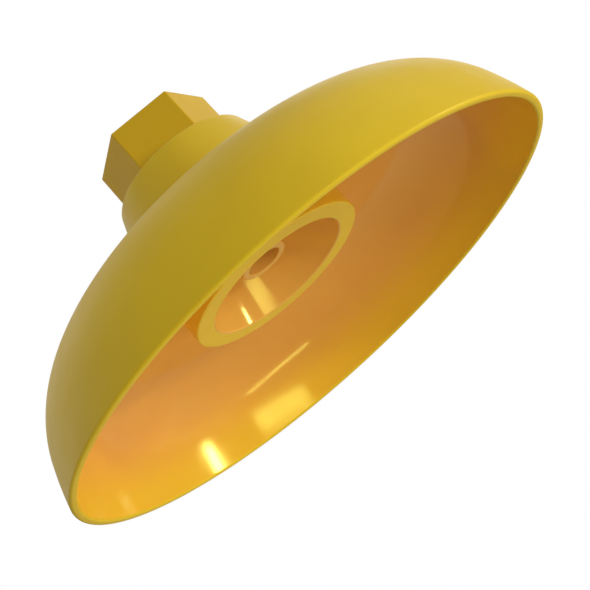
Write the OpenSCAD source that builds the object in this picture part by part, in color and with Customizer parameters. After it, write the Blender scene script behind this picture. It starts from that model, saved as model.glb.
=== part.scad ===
// Emergency drench-shower head: a wide plastic bell round a deep spray cup,
// hung from a hexagonal inlet with a 1 inch female pipe thread.
// Z runs up the inlet axis. The rim of the bell lies on z = 0.

/* [Bell] */
// Diameter over the rim
rim_d = 254; // [244:1:264]
// Thickness of the moulded wall
wall = 3.4; // [2.8:0.1:3.8]
// Radius on both edges of the rim
lip = 1.2; // [0.6:0.1:1.3]
// Inward lean of the skirt at the rim, in degrees
skirt_lean = 11; // [8:0.5:13]
// Radius of the skirt, the tall flat curve above the rim
skirt_r = 147; // [130:1:180]
// Steepness where the skirt runs into the shoulder, in degrees
shoulder_start = 18; // [16:1:20]
// Radius of the shoulder
shoulder_r = 51.7; // [48:0.1:55]
// Steepness where the shoulder runs into the crown, in degrees
crown_start = 72.5; // [70:0.5:74]
// Radius of the crown, the shallow top of the dome
crown_r = 205; // [190:1:220]

/* [Collar] */
// Height of the collar's flat top above the rim
collar_z = 95; // [93:0.5:98]
// Diameter of the collar at its top, before the edge is rounded
collar_d = 70.4; // [68:0.2:74]
// Flare of the collar's side, in degrees
collar_flare = 19; // [15:1:21]
// Radius on the collar's top edge
collar_edge = 2; // [1:0.1:3]
// Radius of the fillet between the collar and the dome
collar_fillet = 5; // [3:0.5:7]
// Thickness of the collar's top plate
plate_t = 4; // [3.5:0.1:5]
// Number of stiffening ribs inside the collar
collar_ribs = 6; // [4:1:12]

/* [Inlet] */
// Hexagon size across the flats
hex_af = 52; // [51:0.5:56]
// Height of the hexagon
hex_h = 24.4; // [23:0.2:28]
// Crest diameter of the 1 inch NPT female thread
thread_d = 29.7; // [29.2:0.1:30]
// Diameter of the spigot that passes through the bell
spigot_d = 40; // [39.6:0.1:40.4]
// Diameter of the waterway below the flow control
waterway_d = 22; // [20:0.5:23]

/* [Spray cup] */
// Outside diameter of the cup's sleeve
sleeve_d = 88.8; // [88:0.2:90]
// Height of the flat ring face above the rim
ring_z = 29; // [27:0.5:31]
// Diameter of the cup's mouth
mouth_d = 69.4; // [67:0.2:70]
// Lean of the cup's side, in degrees
cup_lean = 19; // [14:1:22]
// Thickness of the cup's walls
cup_wall = 3; // [2.6:0.1:3.2]
// Number of webs between the cup and its sleeve
cup_webs = 8; // [4:1:12]

/* [Jet and swirl plate] */
// Height of the jet tube's open end above the rim
jet_z = 38.5; // [36:0.5:42]
// Outside diameter of the jet tube
jet_d = 23.8; // [23:0.1:24]
// Bore of the jet tube
jet_bore = 16.6; // [14:0.1:18]
// Number of swirl vanes
vanes = 8; // [6:1:10]
// Tilt of a vane from the axis, in degrees
vane_tilt = 40; // [25:1:45]

/* [Hidden] */
$fn = 96;

// Clearances: a sliding fit, and a screwed joint drawn as plain cylinders
slide_gap = 0.05;
screw_gap = 0.15;

// Bell: each arc's centre lies on the normal that it shares with the last arc
rim_r = rim_d / 2;
lip_centre = [rim_r - lip, lip];
skirt_c = polar(lip_centre, lip - skirt_r, skirt_lean);
shoulder_c = polar(skirt_c, skirt_r - shoulder_r, shoulder_start);
crown_c = polar(shoulder_c, shoulder_r - crown_r, crown_start);

// Collar: its side is the line where normal * point = reach
flare_n = [cos(collar_flare), sin(collar_flare)];
collar_reach = flare_n * [collar_d / 2, collar_z];
collar_side_r = function (z, inset) (collar_reach - inset - z * flare_n[1]) / flare_n[0];
fillet_a = crossing(collar_fillet);
fillet_c = polar(crown_c, crown_r + collar_fillet, fillet_a);
inner_a = crossing(-wall);
plate_z = collar_z - plate_t;

// Inlet: levels from the top down
hex_z = collar_z + hex_h;
bore_r = thread_d / 2;
spigot_r = spigot_d / 2;
neck_r = spigot_r - 0.6;
entry_chamfer = 1.5;
pocket_r = bore_r - 0.45;
groove_r = bore_r + 1.05;
groove_t = 1.4;
pocket_top = hex_z - 22;
pocket_floor = pocket_top - 13.4;
chamber_r = spigot_r - 3.5;
chamber_z = pocket_floor - 12;

// Spray cup: levels from the seat of the swirl plate
lean_n = [cos(cup_lean), sin(cup_lean)];
sleeve_r = sleeve_d / 2;
cup_roof_z = 55;
seat_z = cup_roof_z + cup_wall;
cup_arc_r = 6;
cup_arc_z = cup_roof_z - cup_arc_r;
cup_reach = lean_n * [mouth_d / 2, ring_z];
cup_arc_c = [(cup_reach - cup_arc_r - cup_arc_z * lean_n[1]) / lean_n[0], cup_arc_z];
socket_wall = 4.35;
socket_r = spigot_r + screw_gap;
socket_top = seat_z + 18;
socket_outer = socket_r + socket_wall;
cup_arc_end = acos((socket_outer - cup_arc_c[0]) / (cup_arc_r + cup_wall));
ring_edge = 0.8;

// Clamp washer between the sleeve and the feet of the bell's ribs; the sleeve's lip stands round it,
// just below the inner corner where the dome meets the collar
washer_t = 1.5;
foot_z = polar(crown_c, crown_r - wall, inner_a)[1] - 1.9;
sleeve_top = foot_z - washer_t;
sleeve_lip_top = foot_z + 1.6;
sleeve_lip_in = sleeve_r - 1.7;
rib_t = 2.4;

// Swirl plate, jet tube and the seal round them
swirl_t = 2.4;
swirl_top = seat_z + swirl_t;
swirl_flange_r = 17.8;
vane_r = 16.2;
vane_t = 1.4;
roof_hole_r = 16.4;
jet_r = jet_d / 2;
hub_r = jet_r + 1.5;
jet_edge = 1;
jet_flange_t = 2;
seal_r = 1.1;

// Shoulder gasket, sunk into the collar's top
gasket_t = 1.6;
gasket_r = 25;

// Flow control, pushed down the inlet onto the pocket's floor
flow_r = pocket_r - 0.1;
flow_floor = 4.2;
flow_h = 12.6;
flow_wall = 2;
flow_inner_r = flow_r - flow_wall;
orifice_r = 6;
disc_t = 4.2;
cage_t = 3.4;
body_seal_r = 0.83;
seal_groove = [1.1, 2.9, 1.6];
clip_r = groove_r - 0.1;
clip_t = 1.2;
clip_band = 2.9;
clip_gap = 34;

yellow = [0.94, 0.74, 0.11];
dark_rubber = [0.13, 0.13, 0.14];
steel = [0.72, 0.73, 0.75];
blue_grey = [0.36, 0.42, 0.5];

function polar(c, r, a) = [c[0] + r * cos(a), c[1] + r * sin(a)];

// Points along an arc from angle a0 to a1; skip = 1 leaves out the point it shares with the last arc
function arc(c, r, a0, a1, n, skip = 0) =
    [for (i = [skip:n]) polar(c, r, a0 + (a1 - a0) * i / n)];

// Angle on the crown where a curve standing off it meets one standing off the collar
function crossing(off) =
    collar_flare + acos((collar_reach + off - flare_n * crown_c) / (crown_r + off));

// The dome's curve at a depth below its outer skin, from the rim up to the angle end
function dome_curve(depth, end) = concat(
    arc(skirt_c, skirt_r - depth, skirt_lean, shoulder_start, 4, 1),
    arc(shoulder_c, shoulder_r - depth, shoulder_start, crown_start, 18, 1),
    arc(crown_c, crown_r - depth, crown_start, end, 5, 1));

function reversed(points) = [for (i = [len(points) - 1:-1:0]) points[i]];

module revolve(points) {
    rotate_extrude() polygon(points);
}

// Ring of rectangular section
module ring(r_in, r_out, z0, z1) {
    revolve([[r_in, z0], [r_out, z0], [r_out, z1], [r_in, z1]]);
}

// Radial web: an outline in (radius, height) given a thickness and repeated round the axis
module webs(count, thickness, outline) {
    for (i = [0:count - 1])
        rotate([90, 0, 360 * (i + 0.5) / count])
            translate([0, 0, -thickness / 2])
                linear_extrude(thickness) polygon(outline);
}

module bell_wall() {
    inner_lip_a = asin((lip - skirt_c[1]) / (skirt_r - wall + lip));
    inner_lip_c = polar(skirt_c, skirt_r - wall + lip, inner_lip_a);
    edge_c = [collar_side_r(collar_z - collar_edge, collar_edge), collar_z - collar_edge];
    hole_r = spigot_r + 0.3;
    revolve(concat(
        arc(lip_centre, lip, -90, skirt_lean, 6),
        dome_curve(0, fillet_a),
        arc(fillet_c, collar_fillet, fillet_a + 180, collar_flare + 180, 6, 1),
        arc(edge_c, collar_edge, collar_flare, 90, 6),
        [[gasket_r + 0.1, collar_z], [gasket_r + 0.1, collar_z - gasket_t]],
        [[hole_r, collar_z - gasket_t], [hole_r, plate_z], [collar_side_r(plate_z, wall), plate_z]],
        reversed(dome_curve(wall, inner_a)),
        arc(inner_lip_c, lip, inner_lip_a + 180, 270, 6)));
}

module bell() {
    rib_r = socket_outer + 1.5;
    foot_r = sleeve_lip_in - 0.5;
    heel_z = sleeve_lip_top + 0.5;
    color(yellow) {
        bell_wall();
        webs(collar_ribs, rib_t, [[rib_r, foot_z], [foot_r, foot_z], [foot_r, heel_z],
                                  [collar_side_r(heel_z, wall - 1), heel_z],
                                  [collar_side_r(plate_z + 1, wall - 1), plate_z + 1],
                                  [rib_r, plate_z + 1]]);
    }
}

module inlet_adapter() {
    color(yellow) difference() {
        union() {
            translate([0, 0, collar_z]) cylinder(d = hex_af / cos(30), h = hex_h, $fn = 6);
            revolve([[0, swirl_top], [spigot_r - 1, swirl_top], [spigot_r, swirl_top + 1],
                     [spigot_r, socket_top + 1], [neck_r, socket_top + 1.6],
                     [neck_r, collar_z + 1], [0, collar_z + 1]]);
        }
        revolve([[0, swirl_top - 1], [chamber_r, swirl_top - 1], [chamber_r, chamber_z],
                 [waterway_d / 2, chamber_z + 8], [waterway_d / 2, pocket_floor],
                 [pocket_r, pocket_floor], [pocket_r, pocket_top], [groove_r, pocket_top],
                 [groove_r, pocket_top + groove_t], [bore_r, pocket_top + groove_t],
                 [bore_r, hex_z - entry_chamfer], [bore_r + entry_chamfer, hex_z],
                 [bore_r + entry_chamfer, hex_z + 1], [0, hex_z + 1]]);
    }
}

module shoulder_gasket() {
    color(dark_rubber) ring(spigot_r + 0.2, gasket_r, collar_z - gasket_t, collar_z);
}

module spray_cup() {
    mouth_r = mouth_d / 2;
    sleeve_in = sleeve_r - cup_wall;
    ring_back = ring_z + cup_wall + 0.2;
    cup_out_r = function (z) (cup_reach + cup_wall - z * lean_n[1]) / lean_n[0];
    color(yellow) {
        revolve(concat(
            arc([mouth_r + ring_edge, ring_z + ring_edge], ring_edge, 180 + cup_lean, 270, 4),
            arc([sleeve_r - ring_edge, ring_z + ring_edge], ring_edge, 270, 360, 4),
            [[sleeve_r, sleeve_lip_top], [sleeve_lip_in, sleeve_lip_top], [sleeve_lip_in, sleeve_top]],
            [[sleeve_in, sleeve_top], [sleeve_in, ring_back]],
            [[cup_out_r(ring_back), ring_back]],
            arc(cup_arc_c, cup_arc_r + cup_wall, cup_lean, cup_arc_end, 8),
            [[socket_outer, socket_top]],
            [[socket_r, socket_top], [socket_r, seat_z], [roof_hole_r, seat_z]],
            [[roof_hole_r, cup_roof_z]],
            reversed(arc(cup_arc_c, cup_arc_r, cup_lean, 90, 8))));
        web_top = cup_arc_z - 1;
        webs(cup_webs, rib_t, [[cup_out_r(ring_back) - 1, ring_back - 1], [sleeve_in + 1, ring_back - 1],
                               [sleeve_in + 1, web_top], [cup_out_r(web_top) - 1, web_top]]);
    }
}

module clamp_washer() {
    color(dark_rubber) ring(37, sleeve_lip_in - 0.3, sleeve_top, foot_z);
}

module cup_o_ring() {
    color(dark_rubber) rotate_extrude()
        translate([(swirl_flange_r + socket_r) / 2, (seat_z + swirl_top) / 2]) circle(seal_r);
}

module swirl_plate() {
    hole_r = jet_r + slide_gap;
    mid_z = (cup_roof_z + swirl_top) / 2;
    color(blue_grey) {
        ring(hole_r, hub_r, cup_roof_z, swirl_top);
        ring(vane_r - 0.3, swirl_flange_r, seat_z, swirl_top);
        intersection() {
            ring(hub_r - 0.4, vane_r, cup_roof_z, swirl_top);
            for (i = [0:vanes - 1])
                rotate([0, 0, 360 * i / vanes])
                    translate([(hub_r + vane_r) / 2, 0, mid_z])
                        rotate([vane_tilt, 0, 0]) cube([6, vane_t, 12], center = true);
        }
    }
}

module jet_tube() {
    bore = jet_bore / 2;
    color(yellow) revolve(concat(
        arc([jet_r - jet_edge, jet_z + jet_edge], jet_edge, 270, 360, 4),
        [[jet_r, swirl_top], [hub_r, swirl_top], [hub_r, swirl_top + jet_flange_t]],
        [[bore + 1.5, swirl_top + jet_flange_t], [bore, swirl_top + jet_flange_t - 1.5]],
        [[bore, jet_z + 0.5], [bore + 0.5, jet_z]]));
}

module flow_control_body() {
    base = pocket_floor;
    floor_z = base + flow_floor;
    groove_in = flow_r - seal_groove[2];
    color(blue_grey) revolve([
        [orifice_r + 2.5, base], [flow_r, base],
        [flow_r, base + seal_groove[0]], [groove_in, base + seal_groove[0]],
        [groove_in, base + seal_groove[1]], [flow_r, base + seal_groove[1]],
        [flow_r, base + flow_h], [flow_inner_r, base + flow_h],
        [flow_inner_r, floor_z], [orifice_r + 4, floor_z],
        [orifice_r + 1, floor_z - 1.2], [orifice_r + 1, base + 1.5]]);
}

module flow_control_disc() {
    z0 = pocket_floor + flow_floor;
    color(dark_rubber) revolve([
        [orifice_r + 0.6, z0], [flow_inner_r - 0.4, z0], [flow_inner_r - 0.4, z0 + disc_t],
        [orifice_r + 1.4, z0 + disc_t], [orifice_r, z0 + disc_t - 1.2], [orifice_r, z0 + 0.6]]);
}

module flow_control_cage() {
    z1 = pocket_floor + flow_h;
    color(blue_grey) {
        ring(flow_inner_r - 1.6, flow_inner_r - slide_gap, z1 - cage_t, z1);
        ring(orifice_r, orifice_r + 1.4, z1 - cage_t, z1 - 0.8);
        for (i = [0:3])
            rotate([0, 0, 45 + 90 * i])
                translate([orifice_r + 0.7, -0.8, z1 - cage_t])
                    cube([flow_inner_r - orifice_r - 1.6, 1.6, cage_t - 0.8]);
    }
}

module flow_control_o_ring() {
    color(dark_rubber) rotate_extrude()
        translate([flow_r - seal_groove[2] + body_seal_r + 0.02,
                   pocket_floor + (seal_groove[0] + seal_groove[1]) / 2]) circle(body_seal_r);
}

module retaining_ring() {
    z0 = pocket_top + (groove_t - clip_t) / 2;
    lug_r = clip_r - clip_band - 0.6;
    color(steel) difference() {
        union() {
            difference() {
                ring(clip_r - clip_band, clip_r, z0, z0 + clip_t);
                translate([0, 0, z0 - 1]) linear_extrude(clip_t + 2)
                    polygon([[0, 0], 2 * clip_r * [cos(clip_gap / 2), -sin(clip_gap / 2)],
                             2 * clip_r * [cos(clip_gap / 2), sin(clip_gap / 2)]]);
            }
            for (side = [-1, 1])
                rotate([0, 0, side * (clip_gap / 2 + 7)])
                    translate([lug_r, 0, z0]) cylinder(r = 1.7, h = clip_t);
        }
        for (side = [-1, 1])
            rotate([0, 0, side * (clip_gap / 2 + 7)])
                translate([lug_r, 0, z0 - 1]) cylinder(r = 0.8, h = clip_t + 2);
    }
}

bell();
inlet_adapter();
shoulder_gasket();
spray_cup();
clamp_washer();
cup_o_ring();
swirl_plate();
jet_tube();
flow_control_body();
flow_control_disc();
flow_control_cage();
flow_control_o_ring();
retaining_ring();
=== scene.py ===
# %% [markdown]
# # An emergency shower head in yellow plastic
#
# The object is the head of a drench shower: a wide moulded bell, a hexagonal
# inlet with a female pipe thread, and a deep spray cup that screws onto the
# inlet from below and clamps the bell between them. A flow control sits in the
# inlet, and a swirl plate and a jet tube sit in the cup.
#
# The CAD model already holds every piece at its true size and place. Here each
# piece is made again as a finished moulding, with the edge radii, threads and
# surfaces that a mould or a tool would leave, and then given its material.
# The CAD model is loaded first, and its box is kept to print beside the new one at the end.

# %% Load the CAD model
import math

import bmesh
import bpy
from mathutils import Matrix, Vector


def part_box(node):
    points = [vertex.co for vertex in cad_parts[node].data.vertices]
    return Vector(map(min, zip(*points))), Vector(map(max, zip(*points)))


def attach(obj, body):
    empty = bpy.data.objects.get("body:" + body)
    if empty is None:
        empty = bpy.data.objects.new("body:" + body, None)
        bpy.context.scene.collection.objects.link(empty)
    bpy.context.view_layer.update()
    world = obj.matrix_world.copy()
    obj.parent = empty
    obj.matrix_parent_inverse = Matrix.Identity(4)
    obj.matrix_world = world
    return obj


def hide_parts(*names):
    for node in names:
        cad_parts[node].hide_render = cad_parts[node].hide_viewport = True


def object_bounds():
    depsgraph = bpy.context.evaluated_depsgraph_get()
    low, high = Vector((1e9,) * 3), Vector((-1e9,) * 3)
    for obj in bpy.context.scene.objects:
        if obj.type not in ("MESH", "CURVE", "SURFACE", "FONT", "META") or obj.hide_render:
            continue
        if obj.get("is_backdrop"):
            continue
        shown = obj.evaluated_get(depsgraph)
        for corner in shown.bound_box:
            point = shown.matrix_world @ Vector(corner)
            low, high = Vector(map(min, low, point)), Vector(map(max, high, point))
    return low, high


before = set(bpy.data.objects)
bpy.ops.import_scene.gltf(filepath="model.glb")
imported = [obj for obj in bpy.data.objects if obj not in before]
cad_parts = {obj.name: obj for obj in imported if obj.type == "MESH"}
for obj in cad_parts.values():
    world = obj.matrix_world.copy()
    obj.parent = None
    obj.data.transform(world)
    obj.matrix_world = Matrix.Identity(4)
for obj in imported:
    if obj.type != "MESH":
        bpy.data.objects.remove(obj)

cad_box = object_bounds()
print("nodes:", ", ".join(sorted(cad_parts)))
print("CAD box, mm:", [[round(1000 * x, 1) for x in corner] for corner in cad_box])

# %% [markdown]
# ## The camera
#
# A product picture of a shower head looks up into the bell, so that the cup
# and the jet show, and still catches the hexagon behind it. The camera stands
# close, a little below the rim, and is rolled, so the head lies across the
# frame from lower left to upper right. It aims at a point on the inlet's axis.
# An azimuth of 0 looks along +Y, and a minus elevation looks upwards.

# %% Camera
VIEW_AZIMUTH = -5.939
VIEW_ELEVATION = -16.196
VIEW_ROLL = 42.235
VIEW_DISTANCE = 0.42786
VIEW_HEIGHT = 0.01806
VIEW_LENS = 60.742


def towards(azimuth, elevation):
    """Unit vector from the object towards a camera or a lamp at those angles, in degrees."""
    a = math.radians(azimuth)
    e = math.radians(elevation)
    return Vector((math.sin(a) * math.cos(e), -math.cos(a) * math.cos(e), math.sin(e)))


def facing(back, roll=0):
    """Rotation whose -Z looks against back, with its top turned by roll degrees."""
    side = Vector((0, 0, 1)).cross(back).normalized()
    top = back.cross(side)
    turn = math.radians(roll)
    up = top * math.cos(turn) + side * math.sin(turn)
    right = side * math.cos(turn) - top * math.sin(turn)
    return Matrix((right, up, back)).transposed().to_4x4()


def add_camera():
    data = bpy.data.cameras.new("camera")
    data.lens = VIEW_LENS
    data.sensor_width = 36
    camera = bpy.data.objects.new("camera", data)
    back = towards(VIEW_AZIMUTH, VIEW_ELEVATION)
    place = Vector((0, 0, VIEW_HEIGHT)) + back * VIEW_DISTANCE
    camera.matrix_world = Matrix.Translation(place) @ facing(back, VIEW_ROLL)
    bpy.context.scene.collection.objects.link(camera)
    bpy.context.scene.camera = camera
    print("camera at, mm:", [round(1000 * x) for x in place])


add_camera()

# %% [markdown]
# ## Outlines
#
# Nearly every piece was turned or moulded about one axis, so it starts as an
# outline in the plane of radius and height. Lathing a drawn curve with a Screw
# modifier would do, but threads, hexagons and two finishes on one piece need
# more say over each column of points. So the outlines are lists, in
# millimetres, of points on arcs and of corners that carry their own radius.

# %% Outline helpers
MM = 0.001
FULL_TURN = 2 * math.pi
NEARLY_HALF = 0.48


def polar(centre, radius, angle):
    """The point at that angle, in degrees, on a circle in the outline's plane."""
    a = math.radians(angle)
    return (centre[0] + radius * math.cos(a), centre[1] + radius * math.sin(a))


def arc(centre, radius, start, end, steps):
    """Points along an arc, both ends included."""
    return [polar(centre, radius, start + (end - start) * i / steps) for i in range(steps + 1)]


def rounded(corners, steps=4):
    """Outline in which a corner (radius, height, edge) becomes an arc of that radius, if there is room."""
    outline = []
    for i, corner in enumerate(corners):
        here = Vector(corner[:2])
        edge = corner[2] if len(corner) > 2 else 0
        if not edge:
            outline.append(tuple(here))
            continue
        before = Vector(corners[i - 1][:2]) - here
        after = Vector(corners[(i + 1) % len(corners)][:2]) - here
        half = before.angle(after) / 2
        longest = NEARLY_HALF * min(before.length, after.length)
        reach = min(edge / math.tan(half), longest)
        radius = reach * math.tan(half)
        inward = (before.normalized() + after.normalized()).normalized()
        middle = here + inward * radius / math.sin(half)
        start = here + before.normalized() * reach - middle
        end = here + after.normalized() * reach - middle
        first = math.degrees(math.atan2(start.y, start.x))
        last = math.degrees(math.atan2(end.y, end.x))
        sweep = (last - first + 180) % 360 - 180
        outline += arc(middle, radius, first, first + sweep, steps)
    return outline


# %% [markdown]
# ## From outline to mesh
#
# A strip is a grid of quads: one column of points for each angle round the
# axis. Strips that share their end circles are welded into one closed skin. A
# thread is a strip as well. Each of its columns climbs by the pitch over one
# turn, so the last column joins the first one a whole pitch further up, and the
# thread fades out over its first and last pitch.

# %% Strip helpers
WELD = 0.002 * MM


def even_angles(count):
    return [FULL_TURN * i / count for i in range(count)]


def add_strip(mesh, angles, columns, shift=0, finish=0):
    """Join columns of (radius, height) points round the axis, the last one shift rows higher."""
    grid = []
    for angle, column in zip(angles, columns):
        ray = Vector((math.cos(angle), math.sin(angle), 0))
        grid.append([mesh.verts.new((ray * r + Vector((0, 0, z))) * MM) for r, z in column])
    top = len(grid[0]) - 1
    for k, left in enumerate(grid):
        right = grid[(k + 1) % len(grid)]
        step = shift if k + 1 == len(grid) else 0
        for j in range(top):
            low = right[min(j + step, top)]
            high = right[min(j + 1 + step, top)]
            ring = [left[j], low, high, left[j + 1]]
            face = mesh.faces.new([v for i, v in enumerate(ring) if v is not ring[i - 1]])
            face.material_index = finish


def lathe_strip(mesh, angles, outline, finish=0):
    add_strip(mesh, angles, [outline] * len(angles), finish=finish)


def thread_strip(mesh, angles, radius, depth, low, high, pitch, start, finish=0):
    """A thread between two heights, cut inwards from a radius by a minus depth, outwards by a plus one."""
    form = [0, 0, 1 / 3, 2 / 3, 1, 1, 2 / 3, 1 / 3]
    rows = len(form)
    first = math.floor((low - start) / pitch) - 1
    last = math.ceil((high - start) / pitch) + 1
    columns = []
    for angle in angles:
        column = []
        for j in range(first * rows, last * rows + 1):
            z = start + pitch * (j / rows + angle / FULL_TURN)
            z = min(max(z, low), high)
            fade = min((z - low) / pitch, (high - z) / pitch, 1)
            column.append((radius + depth * fade * form[j % rows], z))
        columns.append(column)
    add_strip(mesh, angles, columns, shift=rows, finish=finish)


def weld(mesh):
    bmesh.ops.remove_doubles(mesh, verts=mesh.verts, dist=WELD)
    bmesh.ops.dissolve_degenerate(mesh, edges=mesh.edges, dist=WELD)
    bmesh.ops.recalc_face_normals(mesh, faces=mesh.faces)


def new_piece(name, mesh):
    """An object made of a bmesh, linked into the scene."""
    data = bpy.data.meshes.new(name)
    mesh.to_mesh(data)
    mesh.free()
    piece = bpy.data.objects.new(name, data)
    bpy.context.scene.collection.objects.link(piece)
    return piece


def turned(name, outline, count=128, finish=0):
    """A piece that is one closed outline turned about the axis."""
    mesh = bmesh.new()
    lathe_strip(mesh, even_angles(count), outline + outline[:1], finish)
    weld(mesh)
    return new_piece(name, mesh)


# %% [markdown]
# Some pieces are more than turned: ribs, webs, vanes and spokes stand on them.
# Overlapping solids would look right, but they would leave faces inside the
# plastic, so they are joined with a Boolean modifier, which is then applied.
# Each finished skin is checked: an edge with one face would be a hole.

# %% Joining and finishing helpers
def slab(name, outline, thickness, place):
    """A flat plate: an outline in its own X and Y, extruded both ways along Z, put in place by a matrix."""
    mesh = bmesh.new()
    sides = []
    for z in (-thickness / 2, thickness / 2):
        sides.append([mesh.verts.new(place @ Vector((x, y, z)) * MM) for x, y in outline])
    mesh.faces.new(sides[0])
    mesh.faces.new(sides[1][::-1])
    for i in range(len(outline)):
        mesh.faces.new([sides[0][i], sides[0][i - 1], sides[1][i - 1], sides[1][i]])
    weld(mesh)
    return new_piece(name, mesh)


def standing(angle):
    """Place for a plate whose outline is (radius, height), turned to an angle round the axis."""
    return Matrix.Rotation(angle, 4, "Z") @ Matrix.Rotation(math.pi / 2, 4, "X")


def lying(height):
    """Place for a plate that lies flat at a height."""
    return Matrix.Translation((0, 0, height))


def reaching(angle, middle, tilt=0):
    """Place for a plate whose thickness runs outwards from the axis, tilted about that direction."""
    outwards = Matrix(((0, 0, 1), (1, 0, 0), (0, 1, 0))).to_4x4()
    return (Matrix.Rotation(angle, 4, "Z") @ Matrix.Translation(middle)
            @ Matrix.Rotation(tilt, 4, "X") @ outwards)


def applied(piece):
    """Replace a piece's mesh by the mesh that its modifiers make."""
    shown = piece.evaluated_get(bpy.context.evaluated_depsgraph_get())
    data = bpy.data.meshes.new_from_object(shown)
    piece.modifiers.clear()
    piece.data = data
    data.name = piece.name


def combine(piece, others, operation="UNION"):
    """Join other solids to a piece, or cut them out of it, and throw them away."""
    for other in others:
        boolean = piece.modifiers.new("join", "BOOLEAN")
        boolean.operation = operation
        boolean.solver = "EXACT"
        boolean.object = other
        applied(piece)
        bpy.data.objects.remove(other)


def smooth(piece, angle=38):
    """Shade a piece smooth, with sharp edges where it turns by more than an angle, in degrees."""
    for face in piece.data.polygons:
        face.use_smooth = True
    piece.data.set_sharp_from_angle(angle=math.radians(angle))
    weighted = piece.modifiers.new("weighted normals", "WEIGHTED_NORMAL")
    weighted.keep_sharp = True
    weighted.weight = 80


def measure(piece):
    """Print a piece's size and whether its skin is closed."""
    mesh = bmesh.new()
    mesh.from_mesh(piece.data)
    holes = sum(len(edge.link_faces) != 2 for edge in mesh.edges)
    size = [round(x / MM, 1) for x in piece.dimensions]
    print(f"{piece.name}: {size} mm, {len(mesh.faces)} faces, {holes} open edges")
    mesh.free()


# %% [markdown]
# ## The bell
#
# The bell is one moulding of coloured plastic: a dome of three arcs that run
# smoothly into each other, a rim with both edges rounded, and a collar on top
# that the inlet clamps. A skin with a Solidify modifier would give it an even
# wall, but the true outline already has both skins, the rounded rim and the
# gasket's counterbore in it, so turning that outline gives all of it at once.
# The outside is satin and the inside polished, with painted shade and, near
# the rim, painted light in its colour, so they are separate strips.

# %% Bell outline
bell_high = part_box("bell")[1]
RIM_R = round(bell_high.x / MM, 1)
COLLAR_Z = round(bell_high.z / MM, 1)
WALL = 3.4
RIM_EDGE = 1.2
SKIRT_LEAN = 11
SKIRT_R = 147
SHOULDER_START = 18
SHOULDER_R = 51.7
CROWN_START = 72.5
CROWN_R = 205
COLLAR_R = 35.2
COLLAR_FLARE = 19
COLLAR_EDGE = 2
COLLAR_FILLET = 5
PLATE = 4
GASKET_R = 25.1
GASKET_DEPTH = 1.6
BELL_HOLE_R = 20.3
SATIN_END_R = GASKET_R + 0.3
COLLAR_STRAIGHT = 9

rim_centre = (RIM_R - RIM_EDGE, RIM_EDGE)
skirt_centre = polar(rim_centre, RIM_EDGE - SKIRT_R, SKIRT_LEAN)
shoulder_centre = polar(skirt_centre, SKIRT_R - SHOULDER_R, SHOULDER_START)
crown_centre = polar(shoulder_centre, SHOULDER_R - CROWN_R, CROWN_START)
flare = Vector(polar((0, 0), 1, COLLAR_FLARE))
collar_reach = flare.dot((COLLAR_R, COLLAR_Z))


def collar_side(height, inset):
    """Radius of the collar's flared side at a height, or of a line inset from it."""
    return (collar_reach - inset - height * flare.y) / flare.x


def crown_angle(offset):
    """Where on the crown a curve standing off it meets one standing off the collar."""
    across = collar_reach + offset - flare.dot(crown_centre)
    return COLLAR_FLARE + math.degrees(math.acos(across / (CROWN_R + offset)))


def dome(depth, end):
    """The dome's curve at a depth under its outer skin, from the rim up."""
    skirt = arc(skirt_centre, SKIRT_R - depth, SKIRT_LEAN, SHOULDER_START, 6)
    shoulder = arc(shoulder_centre, SHOULDER_R - depth, SHOULDER_START, CROWN_START, 26)
    crown = arc(crown_centre, CROWN_R - depth, CROWN_START, end, 8)
    return skirt + shoulder[1:] + crown[1:]


def rim_inside():
    """The rounded inner edge of the rim, from the dome's inner skin down to the rim's flat."""
    lean = math.degrees(math.asin((RIM_EDGE - skirt_centre[1]) / (SKIRT_R - WALL + RIM_EDGE)))
    centre = polar(skirt_centre, SKIRT_R - WALL + RIM_EDGE, lean)
    return arc(centre, RIM_EDGE, lean + 180, 270, 8)


def bell_outside():
    """From inside the rim, round it, over the dome and the collar, to the gasket's edge."""
    turn = crown_angle(COLLAR_FILLET)
    fillet = polar(crown_centre, CROWN_R + COLLAR_FILLET, turn)
    edge = (collar_side(COLLAR_Z - COLLAR_EDGE, COLLAR_EDGE), COLLAR_Z - COLLAR_EDGE)
    return (rim_inside()
            + arc(rim_centre, RIM_EDGE, -90, SKIRT_LEAN, 8)
            + dome(0, turn)[1:]
            + arc(fillet, COLLAR_FILLET, turn + 180, COLLAR_FLARE + 180, 10)[1:]
            + arc(edge, COLLAR_EDGE, COLLAR_FLARE, 90, 8)
            + [(SATIN_END_R, COLLAR_Z)])


def bell_inside():
    """On from the gasket's edge, down through the hole and under the dome, to the rim."""
    plate = COLLAR_Z - PLATE
    straight = plate - COLLAR_STRAIGHT
    seat = COLLAR_Z - GASKET_DEPTH
    top = rounded([(SATIN_END_R, COLLAR_Z), (GASKET_R, COLLAR_Z, 0.3), (GASKET_R, seat, 0.3),
                   (BELL_HOLE_R, seat, 0.3), (BELL_HOLE_R, plate, 0.3),
                   (collar_side(plate, WALL), plate, 1.5), (collar_side(straight, WALL), straight)])
    skin = dome(WALL, crown_angle(-WALL))[::-1]
    return top + skin[:-1] + rim_inside()[:1]


print("bell rim radius and collar height, mm:", RIM_R, COLLAR_Z)

# %% [markdown]
# Six stiffening ribs stand inside the collar, and their feet rest on the clamp
# washer. The sleeve's lip hides the washer, so each foot stands just inside the
# lip and the rib steps out above it. Each rib is a flat plate whose back edge
# runs a root's depth into the collar's wall, so that the union leaves one closed
# moulding.

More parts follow.
